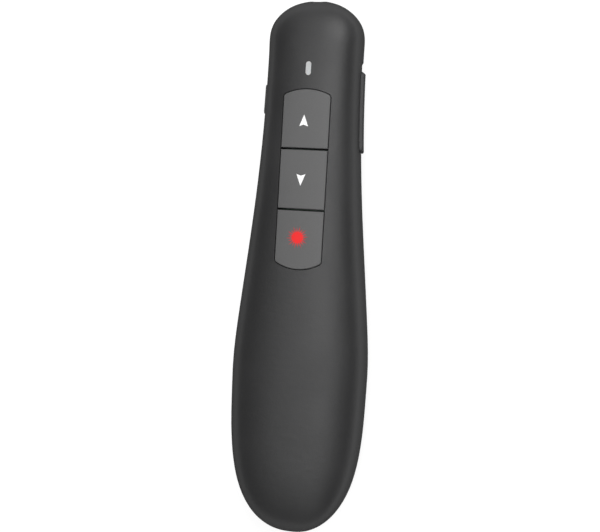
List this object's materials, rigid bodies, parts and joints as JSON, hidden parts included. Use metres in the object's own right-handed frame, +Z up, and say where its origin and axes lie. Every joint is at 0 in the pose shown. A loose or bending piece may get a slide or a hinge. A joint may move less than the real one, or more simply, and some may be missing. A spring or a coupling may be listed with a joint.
{
  "type": "wireless presentation clicker",
  "caption": "Hand-held wireless presentation remote: club-shaped two-part casing with top keys, side volume rocker, power slider, laser tip, battery door and stowed receiver.",
  "frame": {"origin": "middle of the body in plan, on the surface the underside rests on", "axes": "+Z up through the keys, +Y towards the laser tip, +X towards the volume rocker"},
  "size_m": [0.0348, 0.135, 0.0227],
  "materials": {
    "casing_plastic": "fine matt soft-touch, near black",
    "key_rubber": "smooth matt dark grey",
    "control_plastic": "moulded matt near black",
    "light_pipe": "milky translucent",
    "laser_window": "polished tinted",
    "lens_glass": "polished clear",
    "barrel_brass": "turned",
    "circuit_laminate": "green solder mask",
    "component_black": "moulded black",
    "component_white": "ceramic off-white",
    "bright_metal": "nickel plated",
    "screw_steel": "dark zinc",
    "cell_jacket": "printed film, plain",
    "wire_red": "insulation"
  },
  "bodies": {
    "housing": {"upper_casing": "casing_plastic", "lower_casing": "casing_plastic", "key_switches": "component_black", "rocker_pivot_pin": "bright_metal", "volume_switches": "component_black", "power_switch_housing": "bright_metal", "circuit_board": "circuit_laminate", "status_led": "component_white", "status_light_pipe": "light_pipe", "radio_controller_chip": "component_black", "crystal": "bright_metal", "capacitors": "component_white", "laser_barrel": "barrel_brass", "laser_lens": "lens_glass", "laser_window": "laser_window", "laser_driver_board": "circuit_laminate", "laser_leads": "wire_red", "left_battery": "cell_jacket", "right_battery": "cell_jacket", "battery_link_contact": "bright_metal", "positive_contact": "bright_metal", "negative_contact": "bright_metal", "contact_springs": "bright_metal", "casing_screws": "screw_steel", "board_screws": "screw_steel"},
    "page_up_key": {"page_up_key": "key_rubber", "page_up_switch_stem": "component_white"},
    "page_down_key": {"page_down_key": "key_rubber", "page_down_switch_stem": "component_white"},
    "laser_key": {"laser_key": "key_rubber", "laser_switch_stem": "component_white"},
    "volume_rocker": {"volume_rocker": "control_plastic"},
    "volume_up_plunger": {"volume_up_plunger": "component_white"},
    "volume_down_plunger": {"volume_down_plunger": "component_white"},
    "power_slider": {"power_slider": "control_plastic", "power_switch_lever": "component_white"},
    "battery_door": {"battery_door": "casing_plastic"},
    "usb_receiver": {"usb_receiver_cap": "control_plastic", "usb_receiver_sleeve": "bright_metal", "usb_receiver_board": "circuit_laminate"}
  },
  "joints": [
    {"name": "page_up_press", "type": "slide", "parent": "housing", "child": "page_up_key", "axis": [0, 0, -1], "range_m": [0, 0.00035], "stiffness_N_per_m": 2000, "springref_m": -0.0002},
    {"name": "page_down_press", "type": "slide", "parent": "housing", "child": "page_down_key", "axis": [0, 0, -1], "range_m": [0, 0.00035], "stiffness_N_per_m": 2000, "springref_m": -0.0002},
    {"name": "laser_press", "type": "slide", "parent": "housing", "child": "laser_key", "axis": [0, 0, -1], "range_m": [0, 0.00035], "stiffness_N_per_m": 2000, "springref_m": -0.0002},
    {"name": "volume_rock", "type": "hinge", "parent": "housing", "child": "volume_rocker", "pos_m": [0.0082, 0.0404, 0.0126], "axis": [0, 0, 1], "range_deg": [-1.5, 1.5], "stiffness_Nm_per_rad": 0.2},
    {"name": "volume_up_press", "type": "slide", "parent": "housing", "child": "volume_up_plunger", "axis": [1, 0, 0], "range_m": [-0.0002, 0.0002]},
    {"name": "volume_down_press", "type": "slide", "parent": "housing", "child": "volume_down_plunger", "axis": [1, 0, 0], "range_m": [-0.0002, 0.0002]},
    {"name": "power_slide", "type": "slide", "parent": "housing", "child": "power_slider", "axis": [0, -1, 0], "range_m": [0, 0.0025]},
    {"name": "battery_door_slide", "type": "slide", "parent": "housing", "child": "battery_door", "axis": [0, -1, 0], "range_m": [0, 0.005]},
    {"name": "receiver_slide", "type": "slide", "parent": "housing", "child": "usb_receiver", "axis": [0, -1, 0], "range_m": [0, 0.02]}
  ],
  "couplings": [
    {"joint": "volume_up_press", "follows": "volume_rock", "m_per_rad": -0.007},
    {"joint": "volume_down_press", "follows": "volume_rock", "m_per_rad": 0.007}
  ]
}
